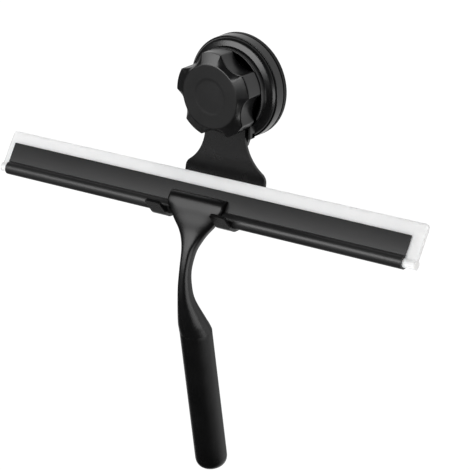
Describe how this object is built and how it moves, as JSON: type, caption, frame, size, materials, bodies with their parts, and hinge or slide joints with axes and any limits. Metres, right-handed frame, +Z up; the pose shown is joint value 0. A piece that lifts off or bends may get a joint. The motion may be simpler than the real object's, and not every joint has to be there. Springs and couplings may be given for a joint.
{
  "type": "window squeegee with suction hook",
  "caption": "Window squeegee with a silicone blade and round tapered handle, hung on a two-arm hook with a twist-lock suction cup.",
  "frame": {"origin": "centre of the suction pad's wall face", "axes": "+X along the blade, +Y into the wall, +Z up"},
  "size_m": [0.305, 0.0638, 0.2701],
  "materials": {
    "pad_rubber": "matte moulded rubber",
    "stud_steel": "plated thread",
    "housing_black": "satin black moulding",
    "bracket_black": "matt black powder coat",
    "washer_nylon": "natural nylon",
    "knob_black": "satin black moulding",
    "nut_steel": "plated",
    "cap_black": "fine matt front, satin bevel",
    "channel_black": "satin black coat over rolled sheet",
    "blade_silicone": "translucent white silicone",
    "pin_steel": "plain",
    "neck_black": "satin black coat over a casting",
    "tie_steel": "plated thread",
    "grip_black": "dark satin coat",
    "end_cap_black": "dark satin coat"
  },
  "bodies": {
    "wall_holder": {"suction_pad": "pad_rubber", "pressure_housing": "housing_black", "hanger_bracket": "bracket_black", "thrust_washer": "washer_nylon"},
    "stud": {"threaded_stud": "stud_steel"},
    "knob": {"knob_body": "knob_black", "knob_nut": "nut_steel", "knob_cap": "cap_black"},
    "squeegee": {"blade_channel": "channel_black", "silicone_blade": "blade_silicone", "head_pins": "pin_steel", "handle_neck": "neck_black", "joining_stud": "tie_steel", "grip_tube": "grip_black", "grip_end_cap": "end_cap_black"}
  },
  "joints": [
    {"name": "knob_turn", "type": "hinge", "parent": "wall_holder", "child": "knob", "pos_m": [0, 0, 0], "axis": [0, -1, 0], "range_deg": [0, 450]},
    {"name": "stud_feed", "type": "slide", "parent": "wall_holder", "child": "stud", "axis": [0, 1, 0], "range_m": [0, 0.0013], "deforming": ["suction_pad"]},
    {"name": "squeegee_lift", "type": "slide", "parent": "wall_holder", "child": "squeegee", "axis": [0, -0.6334, 0.7738], "range_m": [0, 0.06]}
  ],
  "couplings": [
    {"joint": "stud_feed", "follows": "knob_turn", "m_per_rad": 0.00015915}
  ]
}
